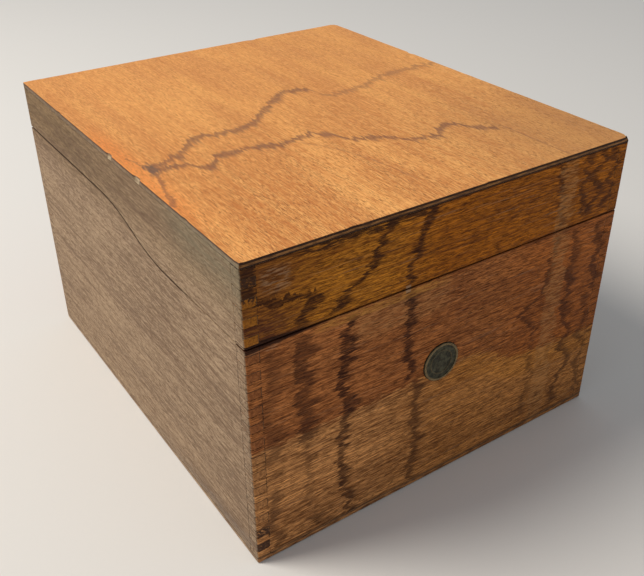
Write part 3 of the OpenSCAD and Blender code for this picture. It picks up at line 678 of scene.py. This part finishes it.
def worn_top(node, material):
    """The top's plywood panel with its wear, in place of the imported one."""
    low, high = (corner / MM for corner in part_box(node.name))
    piece = add_object("worn_top_panel", panel_mesh("worn_top_panel", low, high))
    even_normals(piece)
    dress(piece, material)
    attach(piece, "lid")
    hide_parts(node.name)


def soften(piece, width, segments=2):
    """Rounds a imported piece's arrises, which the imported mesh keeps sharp."""
    weld = piece.modifiers.new("weld", "WELD")
    weld.merge_threshold = 0.01 * MM
    bevel = piece.modifiers.new("worn arrises", "BEVEL")
    bevel.width = width * MM
    bevel.segments = segments
    bevel.limit_method = "ANGLE"
    bevel.angle_limit = math.radians(32)
    bevel.use_clamp_overlap = False
    even_normals(piece)


def dress(piece, material):
    piece.data.materials.clear()
    piece.data.materials.append(material)


def add_camera():
    azimuth, elevation, roll = (math.radians(a) for a in (AZIMUTH, ELEVATION, ROLL))
    flat = math.cos(elevation)
    back = Vector((math.sin(azimuth) * flat, -math.cos(azimuth) * flat, math.sin(elevation)))
    right = Vector((0, 0, 1)).cross(back).normalized()
    up = back.cross(right)
    size = BOX_H * MM
    target = Vector((0, 0, size / 2)) + right * SLIDE * size + up * LIFT * size
    turned_right = right * math.cos(roll) + up * math.sin(roll)
    turned_up = up * math.cos(roll) - right * math.sin(roll)
    turn = Matrix((turned_right, turned_up, back)).transposed().to_4x4()
    camera = bpy.data.cameras.new("camera")
    camera.lens, camera.sensor_width, camera.sensor_fit = LENS, SENSOR, "HORIZONTAL"
    camera.clip_start = 0.01
    holder = add_object("camera", camera)
    holder.matrix_world = Matrix.Translation(target + back * DISTANCE * size) @ turn
    bpy.context.scene.camera = holder


def add_key_lamp():
    lamp = bpy.data.lights.new("key", "AREA")
    lamp.shape, lamp.size, lamp.energy, lamp.color = "DISK", KEY_SIZE, KEY_POWER, KEY_COLOUR
    holder = add_object("key", lamp)
    holder.location = KEY_PLACE
    holder.rotation_euler = (Vector(KEY_AIM) - Vector(KEY_PLACE)).to_track_quat("-Z", "Y").to_euler()


def add_floor():
    corners = [(-1, -1), (1, -1), (1, 1), (-1, 1)]
    mesh = bpy.data.meshes.new("floor")
    mesh.from_pydata([(x * FLOOR_HALF, y * FLOOR_HALF, 0) for x, y in corners], [], [(0, 1, 2, 3)])
    floor = add_object("floor", mesh)
    g = Graph("pale floor")
    tone = g.noise(g.place, 0.6, 2)
    colour = g.mix(tone, (0.775, 0.745, 0.70, 1), (0.785, 0.755, 0.71, 1))
    dress(floor, g.finish(colour, 0.85, tone, depth=0.01, shine=0.1))


def add_sky():
    world = bpy.data.worlds.new("world")
    bpy.context.scene.world = world
    world.use_nodes = True
    background = world.node_tree.nodes["Background"]
    background.inputs["Color"].default_value = SKY_COLOUR
    background.inputs["Strength"].default_value = SKY_STRENGTH


def make_looks():
    """The materials by the name of their piece, then the metals of the hinges and of the follow block."""
    base_front = front_material("front oak base", BASE_LINES, seed=5.0)
    lid_front = front_material("front oak lid", LID_LINES, seed=23.0, creases=LID_CREASES)
    back = front_material("back oak", BACK_LINES, seed=57.0, seam=BACK_SEAM)
    side = side_material("side oak", seed=11.0)
    looks = {
        "base_front": base_front, "base_back": back, "lid_front": lid_front, "lid_back": back,
        "base_left": side, "base_right": side, "lid_left": side, "lid_right": side,
        "lid_top_panel": top_material("top oak", seed=41.0),
        "bottom_panel": bottom_material("bottom oak", seed=67.0),
        "follower_block": plain_oak("block oak", "xzy", seed=91.0, dark=(0.40, 0.25, 0.12, 1),
                                    light=(0.62, 0.44, 0.25, 1), pore=(0.17, 0.09, 0.04, 1)),
        "medallion": medal_material("aged brass"),
    }
    brass = metal_material("hinge brass", dark=(0.17, 0.115, 0.045, 1), light=(0.48, 0.35, 0.16, 1),
                           rough=0.36, depth=0.02, brushed=(4, 0.3, 0.3))
    steel = metal_material("dull steel", dark=(0.34, 0.33, 0.31, 1), light=(0.52, 0.51, 0.49, 1),
                           rough=0.34, depth=0.01, brushed=(12, 0.25, 0.25))
    return looks, brass, steel


def main():
    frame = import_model()
    nodes = frame["nodes"]
    add_camera()
    add_floor()
    add_sky()
    add_key_lamp()
    looks, brass, steel = make_looks()
    for name, piece in nodes.items():
        dress(piece, looks.get(name, brass if name.startswith("hinge") else steel))
    for place in ("front", "back", "left", "right"):
        soften(nodes["base_" + place], BOARD_ARRIS, 1)
        soften(nodes["lid_" + place], BOARD_ARRIS, 1)
    worn_top(nodes["lid_top_panel"], looks["lid_top_panel"])
    soften(nodes["bottom_panel"], PANEL_ARRIS)
    soften(nodes["follower_block"], PANEL_ARRIS)
    soften(nodes["medallion"], MEDAL_ARRIS)

    bpy.context.scene.view_settings.view_transform = "Standard"


main()
